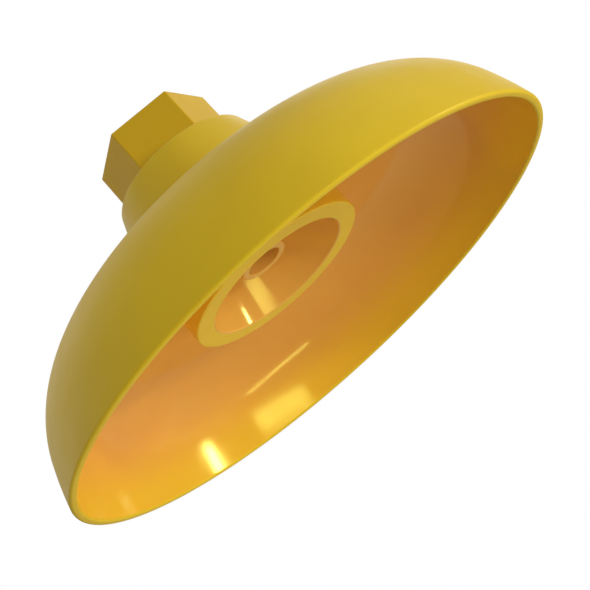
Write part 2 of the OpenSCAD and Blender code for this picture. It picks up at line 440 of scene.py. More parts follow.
# %% Bell
washer_low, washer_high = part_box("clamp_washer")
SLEEVE_TOP = round(washer_low.z / MM, 2)
FOOT_Z = round(washer_high.z / MM, 2)
SLEEVE_LIP = 1.6
SLEEVE_LIP_TOP = FOOT_Z + SLEEVE_LIP
SLEEVE_LIP_IN = round(washer_high.x / MM, 1) + 0.3
RIB_GAP = 0.5
HEEL_Z = SLEEVE_LIP_TOP + RIB_GAP
RIB_INNER_R = 26
RIB_FOOT_R = SLEEVE_LIP_IN - RIB_GAP
RIB_T = 2.4
RIBS = 6
ROOT = 1


def make_bell():
    mesh = bmesh.new()
    angles = even_angles(288)
    lathe_strip(mesh, angles, bell_outside(), finish=0)
    lathe_strip(mesh, angles, bell_inside(), finish=1)
    weld(mesh)
    bell = new_piece("bell_moulding", mesh)
    deep = COLLAR_Z - PLATE + ROOT
    wall = WALL - ROOT
    outline = [(RIB_INNER_R, FOOT_Z), (RIB_FOOT_R, FOOT_Z), (RIB_FOOT_R, HEEL_Z),
               (collar_side(HEEL_Z, wall), HEEL_Z), (collar_side(deep, wall), deep),
               (RIB_INNER_R, deep)]
    ribs = [slab("rib", outline, RIB_T, standing(FULL_TURN * (i + 0.5) / RIBS)) for i in range(RIBS)]
    combine(bell, ribs)
    smooth(bell)
    measure(bell)
    return bell


bell = make_bell()

# %% [markdown]
# ## The inlet adapter
#
# The inlet is a hexagonal prism with a female pipe thread in its top and a
# threaded spigot below, which passes through the bell. The hexagon could be
# cut from a cylinder, but here each column of the grid just reaches out to the
# hexagon's edge at its own angle, and the columns crowd together at the
# corners, so the corner and edge radii are true. Pipe thread has a 60 degree
# form with flat crests; the spigot's thread is coarser, as plastic threads are.

# %% Inlet levels
inlet_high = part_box("inlet_adapter")[1]
HEX_Z = round(inlet_high.z / MM, 1)
HEX_FLAT = round(inlet_high.y / MM, 2)
SIXTH = FULL_TURN / 6
CORNER = 0.9
CORNER_SPAN = math.radians(2)
CORNER_STEPS = 5
FLAT_STEPS = 27
HEX_EDGE = 0.6
HEX_EDGE_STEPS = 4
BORE_R = 14.85
PIPE_PITCH = 25.4 / 11.5
PIPE_DEPTH = 1.4
ENTRY = 1.5
ENTRY_EDGE_R = BORE_R + ENTRY + 0.2
GROOVE_LOW = 97.4
GROOVE_HIGH = 98.8
GROOVE_R = 15.9
PIPE_THREAD_LOW = GROOVE_HIGH + 0.3
PIPE_THREAD_HIGH = HEX_Z - ENTRY - 0.4
POCKET_R = 14.4
POCKET_FLOOR = 84
WATERWAY_R = 11
CHAMBER_TOP = 80
CHAMBER_Z = 72
CHAMBER_R = 16.5
SPIGOT_R = 20
SPIGOT_Z = 60.4
THREAD_LOW = 61.6
THREAD_HIGH = 76.8
THREAD_PITCH = 3
THREAD_DEPTH = 1.1
NECK_R = 19.4
NECK_Z = 77.6
print("hexagon across its flats and height of its top, mm:", 2 * HEX_FLAT, HEX_Z)


# %% Hexagon
def hexagon_angles():
    """Angles that are close together round each corner and even along each flat."""
    flat = SIXTH - 2 * CORNER_SPAN
    steps = [CORNER_SPAN * i / CORNER_STEPS for i in range(-CORNER_STEPS, CORNER_STEPS + 1)]
    steps += [CORNER_SPAN + flat * i / FLAT_STEPS for i in range(1, FLAT_STEPS)]
    return sorted((corner * SIXTH + step) % FULL_TURN for corner in range(6) for step in steps)


def hexagon(angle, inset=0):
    """Radius of the rounded hexagon at an angle, with corners on the X axis."""
    half = SIXTH / 2
    off = abs((angle + half) % SIXTH - half)
    round_r = CORNER - inset
    centre = (HEX_FLAT - CORNER) / math.cos(half)
    flat = (HEX_FLAT - inset) / math.cos(half - off)
    touch = math.atan2(round_r * math.sin(half), centre + round_r * math.cos(half))
    if off >= touch:
        return flat
    return centre * math.cos(off) + math.sqrt(round_r ** 2 - (centre * math.sin(off)) ** 2)


def hexagon_column(angle):
    """From the spigot's neck, out under the hexagon, up its side and in over its top."""
    side = []
    for step in range(HEX_EDGE_STEPS + 1):
        turn = math.radians(90 * step / HEX_EDGE_STEPS)
        inset = HEX_EDGE * (1 - math.sin(turn))
        rise = HEX_EDGE * (1 - math.cos(turn))
        side.append((hexagon(angle, inset), rise))
    up = [(r, COLLAR_Z + rise) for r, rise in side]
    down = [(r, HEX_Z - rise) for r, rise in reversed(side)]
    return [(NECK_R, COLLAR_Z)] + up + down + [(ENTRY_EDGE_R, HEX_Z)]


# %% Inlet
def make_inlet():
    angles = hexagon_angles()
    mesh = bmesh.new()
    foot = rounded([(CHAMBER_R + 1, SPIGOT_Z), (SPIGOT_R - 1, SPIGOT_Z, 0.3),
                    (SPIGOT_R, SPIGOT_Z + 1, 0.3), (SPIGOT_R, THREAD_LOW)])
    neck = rounded([(SPIGOT_R, THREAD_HIGH), (SPIGOT_R, NECK_Z - 0.6, 0.1),
                    (NECK_R, NECK_Z, 0.3), (NECK_R, COLLAR_Z)])
    entry = rounded([(ENTRY_EDGE_R, HEX_Z), (BORE_R + ENTRY, HEX_Z, 0.2),
                     (BORE_R, HEX_Z - ENTRY, 0.3), (BORE_R, PIPE_THREAD_HIGH)])
    within = rounded([(BORE_R, PIPE_THREAD_LOW), (BORE_R, GROOVE_HIGH, 0.2),
                      (GROOVE_R, GROOVE_HIGH, 0.2), (GROOVE_R, GROOVE_LOW, 0.2),
                      (POCKET_R, GROOVE_LOW, 0.2), (POCKET_R, POCKET_FLOOR, 0.5),
                      (WATERWAY_R, POCKET_FLOOR, 0.5), (WATERWAY_R, CHAMBER_TOP, 2),
                      (CHAMBER_R, CHAMBER_Z, 2), (CHAMBER_R, SPIGOT_Z, 0.4),
                      (CHAMBER_R + 1, SPIGOT_Z)])
    lathe_strip(mesh, angles, foot)
    thread_strip(mesh, angles, SPIGOT_R, -THREAD_DEPTH, THREAD_LOW, THREAD_HIGH,
                 THREAD_PITCH, THREAD_LOW)
    lathe_strip(mesh, angles, neck)
    add_strip(mesh, angles, [hexagon_column(angle) for angle in angles])
    lathe_strip(mesh, angles, entry)
    thread_strip(mesh, angles, BORE_R, PIPE_DEPTH, PIPE_THREAD_LOW, PIPE_THREAD_HIGH,
                 PIPE_PITCH, GROOVE_HIGH)
    lathe_strip(mesh, angles, within)
    weld(mesh)
    inlet = new_piece("inlet_moulding", mesh)
    smooth(inlet, 32)
    measure(inlet)
    return inlet


inlet = make_inlet()

# %% [markdown]
# ## The spray cup
#
# The cup is what looks out of the bell: a deep round cup with a flat ring face
# and a sleeve behind it. The ring face is satin and the cup's inside polished,
# with a deeper orange painted in as shade, so they are separate strips. Its
# socket screws onto the spigot, so its thread uses the same helix as the
# spigot's, 0.15 mm further out, and the two mesh.
# Eight webs tie the sleeve to the cup, as a moulder would do to keep the walls
# thin. They could be modelled in place, but like the ribs they are plates.

# %% Spray cup outline
cup_low, cup_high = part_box("spray_cup")
RING_Z = round(cup_low.z / MM, 1)
SLEEVE_R = round(cup_high.x / MM, 1)
SOCKET_TOP = round(cup_high.z / MM, 1)
MOUTH_R = 34.7
CUP_LEAN = 19
CUP_WALL = 3
CUP_ROOF = 55
CUP_ARC = 6
SEAT_Z = 58
ROOF_HOLE_R = 16.4
SOCKET_R = SPIGOT_R + 0.15
SOCKET_WALL = 4.35
SOCKET_THREAD_LOW = THREAD_LOW + 0.3
SOCKET_THREAD_HIGH = SOCKET_TOP - 1.2
RING_BACK = RING_Z + 3.2
RING_EDGE = 0.8
WEBS = 8
WEB_TOP = 48
WEB_T = 2.4

lean = Vector(polar((0, 0), 1, CUP_LEAN))
cup_reach = lean.dot((MOUTH_R, RING_Z))
cup_arc_z = CUP_ROOF - CUP_ARC
cup_arc_centre = ((cup_reach - CUP_ARC - cup_arc_z * lean.y) / lean.x, cup_arc_z)


def cup_outside(height):
    """Radius of the cup's leaning outer wall at a height."""
    return (cup_reach + CUP_WALL - height * lean.y) / lean.x


def cup_outer_skin():
    """From the top of the socket's thread, down behind the cup and over the sleeve, to the ring face."""
    straight = RING_BACK + 3
    sleeve_in = SLEEVE_R - CUP_WALL
    outer = SOCKET_R + SOCKET_WALL
    shoulder = math.degrees(math.acos((outer - cup_arc_centre[0]) / (CUP_ARC + CUP_WALL)))
    top = rounded([(SOCKET_R, SOCKET_THREAD_HIGH), (SOCKET_R, SOCKET_TOP, 0.8),
                   (outer, SOCKET_TOP, 0.8), (outer, SEAT_Z + 0.6)])
    under = rounded([(cup_outside(straight), straight), (cup_outside(RING_BACK), RING_BACK, 1.2),
                     (sleeve_in, RING_BACK, 1.2), (sleeve_in, SLEEVE_TOP, 0.3),
                     (SLEEVE_LIP_IN, SLEEVE_TOP, 0.2), (SLEEVE_LIP_IN, SLEEVE_LIP_TOP, 0.4),
                     (SLEEVE_R, SLEEVE_LIP_TOP, 0.5), (SLEEVE_R, RING_Z + RING_EDGE)])
    return (top
            + arc(cup_arc_centre, CUP_ARC + CUP_WALL, shoulder, CUP_LEAN, 12)
            + under
            + arc((SLEEVE_R - RING_EDGE, RING_Z + RING_EDGE), RING_EDGE, 360, 270, 6)
            + [(MOUTH_R + RING_EDGE, RING_Z)])


def cup_inner_skin():
    """From the ring face, up the inside of the cup and over its roof, to the foot of the thread."""
    seat = rounded([(ROOF_HOLE_R + 2, CUP_ROOF), (ROOF_HOLE_R, CUP_ROOF, 0.4),
                    (ROOF_HOLE_R, SEAT_Z, 0.3), (SOCKET_R, SEAT_Z, 0.4), (SOCKET_R, SOCKET_THREAD_LOW)])
    return (arc((MOUTH_R + RING_EDGE, RING_Z + RING_EDGE), RING_EDGE, 270, 180 + CUP_LEAN, 6)
            + arc(cup_arc_centre, CUP_ARC, CUP_LEAN, 90, 12)
            + seat)


print("cup's ring face and socket top, mm:", RING_Z, SOCKET_TOP)


# %% Spray cup
def make_cup():
    mesh = bmesh.new()
    angles = even_angles(224)
    lathe_strip(mesh, angles, cup_outer_skin(), finish=0)
    lathe_strip(mesh, angles, cup_inner_skin(), finish=1)
    thread_strip(mesh, angles, SOCKET_R, -THREAD_DEPTH, SOCKET_THREAD_LOW, SOCKET_THREAD_HIGH,
                 THREAD_PITCH, THREAD_LOW, finish=1)
    weld(mesh)
    cup = new_piece("cup_moulding", mesh)
    foot = RING_BACK - ROOT
    sleeve = SLEEVE_R - CUP_WALL + ROOT
    outline = [(cup_outside(foot) - ROOT, foot), (sleeve, foot),
               (sleeve, WEB_TOP), (cup_outside(WEB_TOP) - ROOT, WEB_TOP)]
    webs = [slab("web", outline, WEB_T, standing(FULL_TURN * (i + 0.5) / WEBS)) for i in range(WEBS)]
    combine(cup, webs)
    smooth(cup)
    measure(cup)
    return cup


cup = make_cup()

# %% [markdown]
# ## The jet tube
#
# Water reaches the cup in two ways, and some of it runs straight down the jet
# tube and fills the middle of the spray. The tube is a plain turned shape with
# a flange that hangs on the swirl plate. A cylinder and a Bevel modifier would
# do, but the outline lets each of its edges have its own radius.

# %% Jet tube
jet_low, jet_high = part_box("jet_tube")
JET_Z = round(jet_low.z / MM, 1)
JET_TOP = round(jet_high.z / MM, 1)
HUB_R = round(jet_high.x / MM, 1)
JET_R = HUB_R - 1.5
JET_BORE_R = 8.3
JET_FLANGE = 2
JET_ENTRY = 1.5

jet = turned("jet_moulding", rounded([
    (JET_R, JET_Z, 1), (JET_R, JET_TOP - JET_FLANGE, 0.2), (HUB_R, JET_TOP - JET_FLANGE, 0.3),
    (HUB_R, JET_TOP, 0.5), (JET_BORE_R + JET_ENTRY, JET_TOP, 0.3), (JET_BORE_R, JET_TOP - JET_ENTRY, 0.5),
    (JET_BORE_R, JET_Z, 0.5)]))
smooth(jet)
measure(jet)

# %% [markdown]
# ## The swirl plate
#
# The rest of the water passes the tilted vanes of this plate, spins round the
# cup and flies off its rim. A vane is a rounded blade that leans away from the
# axis. A bend modifier could curve it, but such small moulded vanes are
# straight, so each is an outline extruded outwards, from the hub to just short
# of the roof's hole, and the flange that sits on the roof overlaps them.

# %% Swirl plate
SWIRL_TOP = SEAT_Z + 2.4
SLIDE_GAP = 0.05
FLANGE_R = 17.8
FLANGE_IN = 15.9
VANES = 8
VANE_T = 1.4
VANE_TILT = math.radians(40)
VANE_LONG = 5.8


def vane(angle):
    """A blade that stands out from the hub, leaning by the vanes' tilt."""
    half = VANE_T / 2
    reach = VANE_LONG / 2
    blade = rounded([(-half, -reach, 0.5), (half, -reach, 0.5), (half, reach, 0.5), (-half, reach, 0.5)])
    inner = HUB_R - 0.4
    outer = ROOF_HOLE_R - 0.35
    middle = Vector(((inner + outer) / 2, 0, (CUP_ROOF + SWIRL_TOP) / 2))
    return slab("vane", blade, outer - inner, reaching(angle, middle, VANE_TILT))


def make_swirl_plate():
    hub = turned("swirl_plate_moulding", rounded([
        (JET_R + SLIDE_GAP, CUP_ROOF, 0.2), (HUB_R, CUP_ROOF, 0.4),
        (HUB_R, SWIRL_TOP, 0.3), (JET_R + SLIDE_GAP, SWIRL_TOP, 0.2)]))
    flange = turned("flange", rounded([
        (FLANGE_IN, SEAT_Z, 0.2), (FLANGE_R, SEAT_Z, 0.3),
        (FLANGE_R, SWIRL_TOP, 0.3), (FLANGE_IN, SWIRL_TOP, 0.3)]))
    combine(hub, [vane(FULL_TURN * i / VANES) for i in range(VANES)] + [flange])
    smooth(hub)
    measure(hub)
    return hub


swirl = make_swirl_plate()

# %% [markdown]
# ## Seals
#
# Four rubber seals keep the water on its way: a gasket under the hexagon, a
# washer between the sleeve and the bell's ribs, and an O-ring in the cup and
# another on the flow control. Torus primitives would do for the rings, but a
# moulded O-ring has a fine parting line at its equator, so its outline is a
# circle with a low ridge there. The flat seals get soft, slightly rounded edges.

# %% Seals
SEAL_EDGE = 0.25
PARTING_RIDGE = 0.05
GASKET_IN = SPIGOT_R + 0.2
WASHER_IN = 37


def o_ring(node, name):
    """A ring whose size is read from the CAD node, with a parting line round its outer equator."""
    low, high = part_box(node)
    section = (high.z - low.z) / MM / 2
    outer = high.x / MM
    centre = (outer - section, (high.z + low.z) / MM / 2)
    outline = arc(centre, section - PARTING_RIDGE, 8, 352, 34)
    nose = polar(centre, section, 0)
    ring = turned(name, outline + [nose], 160)
    smooth(ring, 60)
    measure(ring)
    return ring


def flat_seal(node, name, inner):
    """A flat ring between the CAD node's faces, from an inner radius out to the node's edge."""
    low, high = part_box(node)
    outer = high.x / MM
    bottom = low.z / MM
    top = high.z / MM
    corners = ((inner, bottom), (outer, bottom), (outer, top), (inner, top))
    seal = turned(name, rounded([(r, z, SEAL_EDGE) for r, z in corners]), 160)
    smooth(seal)
    measure(seal)
    return seal


gasket = flat_seal("shoulder_gasket", "shoulder_gasket_rubber", GASKET_IN)
washer = flat_seal("clamp_washer", "clamp_washer_rubber", WASHER_IN)
cup_ring = o_ring("cup_o_ring", "cup_ring_rubber")
flow_ring = o_ring("flow_control_o_ring", "flow_ring_rubber")

# %% [markdown]
# ## The flow control
#
# At the bottom of the inlet lies a small cartridge that keeps the flow steady
# whatever the pressure: a plastic body with an orifice, and a rubber disc that
# bulges into it. Both are small turned shapes. Stacked cylinders would do, but
# an outline gives each of their many steps and grooves its own small edge.

# %% Flow control
flow_low, flow_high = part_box("flow_control_body")
FLOW_LOW = round(flow_low.z / MM, 1)
FLOW_TOP = round(flow_high.z / MM, 1)
FLOW_R = round(flow_high.x / MM, 2)
FLOW_IN = FLOW_R - 2
FLOW_FLOOR = FLOW_LOW + 4.2
ORIFICE_R = 6
DISC_T = 4.2
CAGE_LOW = FLOW_TOP - 3.4
SEAL_LOW = FLOW_LOW + 1.1
SEAL_HIGH = FLOW_LOW + 2.9
SEAL_IN = FLOW_R - 1.6

flow_body = turned("flow_body_moulding", rounded([
    (ORIFICE_R + 2.5, FLOW_LOW, 0.3), (FLOW_R, FLOW_LOW, 0.3), (FLOW_R, SEAL_LOW, 0.15),
    (SEAL_IN, SEAL_LOW, 0.15), (SEAL_IN, SEAL_HIGH, 0.15), (FLOW_R, SEAL_HIGH, 0.15),
    (FLOW_R, FLOW_TOP, 0.4), (FLOW_IN, FLOW_TOP, 0.3), (FLOW_IN, FLOW_FLOOR, 0.3),
    (ORIFICE_R + 4, FLOW_FLOOR, 0.4), (ORIFICE_R + 1, FLOW_FLOOR - 1.2, 0.5),
    (ORIFICE_R + 1, FLOW_LOW + 1.5, 0.4)]))
flow_disc = turned("flow_disc_rubber", rounded([
    (ORIFICE_R + 0.6, FLOW_FLOOR, 0.2), (FLOW_IN - 0.4, FLOW_FLOOR, 0.4),
    (FLOW_IN - 0.4, FLOW_FLOOR + DISC_T, 0.5), (ORIFICE_R + 1.4, FLOW_FLOOR + DISC_T, 0.3),
    (ORIFICE_R, FLOW_FLOOR + DISC_T - 1.2, 0.5), (ORIFICE_R, FLOW_FLOOR + 0.6, 0.3)]))
for piece in (flow_body, flow_disc):
    smooth(piece)
    measure(piece)


# %% [markdown]
# ## The cage of the flow control
#
# The cage holds the disc in its body: an outer rim and an inner boss, with four
# spokes between them. The spokes could be arrays of a cube, but an outline with
# rounded upper edges, extruded outwards, is as short and looks moulded.

# %% Cage of the flow control
SPOKES = 4
SPOKE_HALF = 0.8


def make_cage():
    rim = turned("flow_cage_moulding", rounded([
        (FLOW_IN - 1.6, CAGE_LOW, 0.2), (FLOW_IN - 0.05, CAGE_LOW, 0.3),
        (FLOW_IN - 0.05, FLOW_TOP, 0.3), (FLOW_IN - 1.6, FLOW_TOP, 0.3)]))
    boss = turned("boss", rounded([
        (ORIFICE_R, CAGE_LOW, 0.2), (ORIFICE_R + 1.4, CAGE_LOW, 0.2),
        (ORIFICE_R + 1.4, FLOW_TOP - 0.8, 0.4), (ORIFICE_R, FLOW_TOP - 0.8, 0.4)]))
    low = CAGE_LOW + 0.01
    high = FLOW_TOP - 0.82
    bar = rounded([(-SPOKE_HALF, low), (SPOKE_HALF, low),
                   (SPOKE_HALF, high, 0.4), (-SPOKE_HALF, high, 0.4)])
    inner = ORIFICE_R + 0.7
    outer = FLOW_IN - 0.8
    middle = Vector(((inner + outer) / 2, 0, 0))
    spokes = []
    for i in range(SPOKES):
        place = reaching(FULL_TURN * (i + 0.5) / SPOKES, middle)
        spokes.append(slab("spoke", bar, outer - inner, place))
    combine(rim, spokes + [boss])
    smooth(rim)
    measure(rim)
    return rim


flow_cage = make_cage()

# %% [markdown]
# ## The retaining ring
#
# A stamped steel ring snaps into a groove above the cartridge and keeps it
# down. A curve with a bevel would give a round wire, but this ring is stamped
# flat, so it is cut from a slab, with its lugs joined on and their holes cut
# out, and a tiny bevel stands for the rolled edge that a stamping tool leaves.

# %% Retaining ring
clip_low, clip_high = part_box("retaining_ring")
CLIP_R = GROOVE_R - 0.1
CLIP_BAND = 2.9
CLIP_GAP = 34
LUG_CENTRE_R = CLIP_R - CLIP_BAND - 0.6
LUG_TURN = 7
LUG_R = 1.7
LUG_HOLE_R = 0.8
ROLLED_EDGE = 0.1


def make_retaining_ring():
    height = (clip_low.z + clip_high.z) / MM / 2
    thick = (clip_high.z - clip_low.z) / MM
    first = CLIP_GAP / 2
    last = 360 - first
    band = arc((0, 0), CLIP_R, first, last, 150) + arc((0, 0), CLIP_R - CLIP_BAND, last, first, 150)
    ring = slab("retaining_ring_steel", band, thick, lying(height))
    ends = [polar((0, 0), LUG_CENTRE_R, side * (first + LUG_TURN)) for side in (-1, 1)]
    lugs = []
    holes = []
    for end in ends:
        lugs.append(slab("lug", arc(end, LUG_R, 0, 360, 40)[:-1], thick, lying(height)))
        holes.append(slab("hole", arc(end, LUG_HOLE_R, 0, 360, 24)[:-1], thick + 1, lying(height)))
    combine(ring, lugs)
    combine(ring, holes, "DIFFERENCE")
    edge = ring.modifiers.new("rolled edge", "BEVEL")
    edge.width = ROLLED_EDGE * MM
    edge.segments = 2
    edge.limit_method = "ANGLE"
    edge.angle_limit = math.radians(50)
    applied(ring)
    smooth(ring)
    measure(ring)
    return ring


clip = make_retaining_ring()

# %% [markdown]
# ## Moulded plastic
#
# The yellow is coloured right through, so its shade hardly wavers over a piece.
# What makes it read as plastic is the surface: a faint orange peel, a gloss
# that wavers where hands and tools have been, fine circles left by the turned
# mould, and a little light that wanders under the skin. An image could carry
# all that, but noise in the object's own space has no seams and suits any size.
# The circles are noise along one coordinate, radius plus height.
#
# Two things here are chosen, and a real moulding presumably has neither.
# The inside of the bell, the cup and the jet are a deeper orange than the
# outside, and the inlet a little darker, all as painted shade, and the bell's
# inside is clearer yellow near its rim, as painted light, because with one
# colour the inside came out too pale and green.
# And the gloss is tinted yellow, because with a colourless one the highlights
# came out paler.

# %% Material helpers
class Finish:
    """A material in the making: its nodes, its shader and the object's own coordinates."""

    def __init__(self, name):
        self.material = bpy.data.materials.new(name)
        self.material.use_nodes = True
        self.tree = self.material.node_tree
        self.shader = self.tree.nodes["Principled BSDF"]
        self.place = self.tree.nodes.new("ShaderNodeTexCoord").outputs["Object"]

    def plug(self, socket, value):
        if isinstance(value, bpy.types.NodeSocket):
            self.tree.links.new(value, socket)
        else:
            socket.default_value = value

    def node(self, kind, inputs, **settings):
        made = self.tree.nodes.new(kind)
        for key, value in settings.items():
            setattr(made, key, value)
        for key, value in inputs.items():
            self.plug(made.inputs[key], value)
        return made

    def shade(self, **values):
        """Set or link the shader's sockets by name, with _ for a space."""
        for key, value in values.items():
            self.plug(self.shader.inputs[key.replace("_", " ")], value)

    def noise(self, size, detail=3):
        """Noise with features of about that size, in millimetres."""
        inputs = {"Vector": self.place, "Scale": 1 / (size * MM), "Detail": detail}
        return self.node("ShaderNodeTexNoise", inputs).outputs["Fac"]

    def rings(self, pitch):
        """Noise in rings round the axis, such as a lathe leaves in a mould."""
        parts = self.node("ShaderNodeSeparateXYZ", {"Vector": self.place}).outputs
        flat = self.node("ShaderNodeCombineXYZ", {"X": parts["X"], "Y": parts["Y"]})
        radius = self.node("ShaderNodeVectorMath", {0: flat.outputs["Vector"]}, operation="LENGTH")
        along = self.node("ShaderNodeMath", {0: radius.outputs["Value"], 1: parts["Z"]})
        inputs = {"W": along.outputs["Value"], "Scale": 1 / (pitch * MM), "Detail": 2}
        return self.node("ShaderNodeTexNoise", inputs, noise_dimensions="1D").outputs["Fac"]

    def between(self, factor, low, high):
        """Stretch the middle of a noise to a range."""
        inputs = {"Value": factor, "From Min": 0.3, "From Max": 0.7, "To Min": low, "To Max": high}
        return self.node("ShaderNodeMapRange", inputs).outputs["Result"]

    def blend(self, factor, first, second):
        """A colour between two, by a factor."""
        inputs = {0: self.between(factor, 0, 1), 6: (*first, 1), 7: (*second, 1)}
        return self.node("ShaderNodeMix", inputs, data_type="RGBA").outputs[2]

    def climb(self, low, high, first, second):
        """A colour that changes from one height over the rim to another, in millimetres."""
        parts = self.node("ShaderNodeSeparateXYZ", {"Vector": self.place}).outputs
        inputs = {"Value": parts["Z"], "From Min": low * MM, "From Max": high * MM}
        factor = self.node("ShaderNodeMapRange", inputs, interpolation_type="SMOOTHSTEP").outputs["Result"]
        inputs = {0: factor, 6: (*first, 1), 7: second}
        return self.node("ShaderNodeMix", inputs, data_type="RGBA").outputs[2]

    def bumps(self, layers):
        """Stack layers of (height, depth in millimetres) into the shader's normal."""
        normal = None
        for height, depth in layers:
            inputs = {"Height": height, "Distance": depth * MM}
            if normal:
                inputs["Normal"] = normal
            normal = self.node("ShaderNodeBump", inputs).outputs["Normal"]
        self.shade(Normal=normal)


# %% Yellow plastic
OUTER_YELLOW = (0.88, 0.60, 0.02)
# Painted shade: the bell's inside is a deeper orange than its outside.
INNER_PAINTED_SHADE = (0.87, 0.395, 0.065)
# Painted light: the bell's inside is clearer yellow near the rim.
RIM_PAINTED_LIGHT = (0.93, 0.55, 0.035)
# Painted shade: the inlet is a little darker and more orange than the bell's outside.
INLET_PAINTED_SHADE = (0.84, 0.53, 0.02)
# Painted shade: the cup's inside and the jet are a deeper orange than the cup's face.
CUP_PAINTED_SHADE = (0.92, 0.48, 0.075)
FACE_YELLOW = (0.94, 0.60, 0.03)
SHEEN = (0.97, 1, 0.18, 1)
# Heights over the rim where the painted light ends and the painted shade is full.
PAINTED_LIGHT_BELOW = 4
PAINTED_SHADE_ABOVE = 34
FINE_PEEL = 0.0015


def yellow_plastic(name, colour, gloss, peel, lines, rim=None):
    """Yellow plastic, with a range of roughness and the depths in millimetres of peel and mould lines."""
    finish = Finish(name)
    deeper = (colour[0] * 0.95, colour[1] * 0.93, colour[2])
    base = finish.blend(finish.noise(35), colour, deeper)
    # A rim colour, if given, is painted light near the rim, fading into the base colour higher up.
    if rim:
        base = finish.climb(PAINTED_LIGHT_BELOW, PAINTED_SHADE_ABOVE, rim, base)
    finish.shade(Base_Color=base,
                 Roughness=finish.between(finish.noise(9, 5), *gloss),
                 IOR=1.5, Specular_Tint=SHEEN, Subsurface_Weight=0.06,
                 Subsurface_Scale=1.5 * MM, Subsurface_Radius=(1, 0.55, 0.1))
    finish.bumps([(finish.noise(1.8), peel), (finish.noise(0.4), FINE_PEEL), (finish.rings(0.9), lines)])
    return finish.material


satin_yellow = yellow_plastic("satin yellow, bell outside", OUTER_YELLOW, (0.38, 0.46), 0.008, 0.001)
polished_shade_and_rim_light = yellow_plastic("polished yellow, bell inside, painted shade and rim light", INNER_PAINTED_SHADE, (0.1, 0.16), 0.003, 0.001,
                                 rim=RIM_PAINTED_LIGHT)
inlet_painted_shade = yellow_plastic("satin yellow, inlet, painted shade", INLET_PAINTED_SHADE, (0.4, 0.5), 0.008, 0.0015)
face_yellow = yellow_plastic("satin yellow, cup face", FACE_YELLOW, (0.34, 0.44), 0.006, 0.0015)
cup_painted_shade = yellow_plastic("polished yellow, inside the cup, painted shade", CUP_PAINTED_SHADE, (0.1, 0.15), 0.002, 0.0015)
jet_painted_shade = yellow_plastic("polished yellow, jet, painted shade", CUP_PAINTED_SHADE, (0.2, 0.26), 0.002, 0.001)
yellows = (satin_yellow, polished_shade_and_rim_light, inlet_painted_shade, face_yellow, cup_painted_shade, jet_painted_shade)
print("made:", "; ".join(material.name for material in yellows))

# %% [markdown]
# ## The other finishes
#
# The flow control and the swirl plate are a duller blue-grey plastic, filled
# with fine glass, so its colour is speckled and its surface dry. The seals are
# black rubber, nearly matte, with a bloom of paler dust. The retaining ring is
# spring steel that was stamped and tumbled, so it is brushed along no direction
# in particular and its roughness is blotchy.

# %% Glass-filled plastic, rubber and steel
def filled_plastic():
    finish = Finish("blue-grey glass-filled plastic")
    finish.shade(Base_Color=finish.blend(finish.noise(0.5, 4), (0.10, 0.13, 0.19), (0.14, 0.18, 0.25)),
                 Roughness=finish.between(finish.noise(3, 4), 0.42, 0.58), IOR=1.52)
    finish.bumps([(finish.noise(0.6, 4), 0.006), (finish.rings(0.7), 0.002)])
    return finish.material


def rubber(name, dark, dusty):
    finish = Finish(name)
    finish.shade(Base_Color=finish.blend(finish.noise(5, 5), dark, dusty),
                 Roughness=finish.between(finish.noise(2, 4), 0.55, 0.75), IOR=1.5)
    finish.bumps([(finish.noise(0.3, 4), 0.004), (finish.noise(2.5), 0.006)])
    return finish.material


def spring_steel():
    finish = Finish("tumbled spring steel")
    finish.shade(Base_Color=finish.blend(finish.noise(1.5, 4), (0.56, 0.57, 0.59), (0.66, 0.66, 0.67)),
                 Roughness=finish.between(finish.noise(0.8, 5), 0.2, 0.38), Metallic=1.0)
    finish.bumps([(finish.noise(0.25, 4), 0.0015)])
    return finish.material


blue_grey = filled_plastic()
seal_black = rubber("black seal rubber", (0.012, 0.012, 0.013), (0.03, 0.03, 0.031))
disc_black = rubber("black disc rubber", (0.016, 0.015, 0.015), (0.035, 0.034, 0.034))
steel = spring_steel()
print("made:", "; ".join(material.name for material in (blue_grey, seal_black, disc_black, steel)))

# %% [markdown]
# ## Dressing the pieces
#
# Each finished piece takes its materials, stands for the CAD node that it was
# made from, and rides on the part's one body, because nothing here moves. The
# bell and the cup take two materials, one for each of their finishes, and the
# inner one of each carries painted shade. All this could be done as each piece
# is made, but one list is easier to check.

# %% Materials, nodes and body
def dress(piece, node, slot, *materials):
    """Give a piece its materials, and let it stand for a CAD node."""
    for material in materials:
        piece.data.materials.append(material)
    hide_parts(node)
    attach(piece, "root")


dress(bell, "bell", "bell_plastic", satin_yellow, polished_shade_and_rim_light)
dress(inlet, "inlet_adapter", "inlet_plastic", inlet_painted_shade)
dress(cup, "spray_cup", "cup_plastic", face_yellow, cup_painted_shade)
dress(jet, "jet_tube", "jet_plastic", jet_painted_shade)
dress(swirl, "swirl_plate", "control_plastic", blue_grey)
dress(gasket, "shoulder_gasket", "seal_rubber", seal_black)
dress(washer, "clamp_washer", "seal_rubber", seal_black)
dress(cup_ring, "cup_o_ring", "seal_rubber", seal_black)
dress(flow_ring, "flow_control_o_ring", "seal_rubber", seal_black)
dress(flow_body, "flow_control_body", "control_plastic", blue_grey)
dress(flow_disc, "flow_control_disc", "disc_rubber", disc_black)
dress(flow_cage, "flow_control_cage", "control_plastic", blue_grey)
dress(clip, "retaining_ring", "spring_steel", steel)

# %% [markdown]
# ## The floor
#
# The head hangs in a plain white studio over a pale floor, which is well below
# it, so that the low lamps stand clear of the floor. A plane would do, but the
# circle's edge is the same all round, whichever way the camera looks.

# %% Floor
FLOOR_RADIUS = 4
FLOOR_DEPTH = 1.4


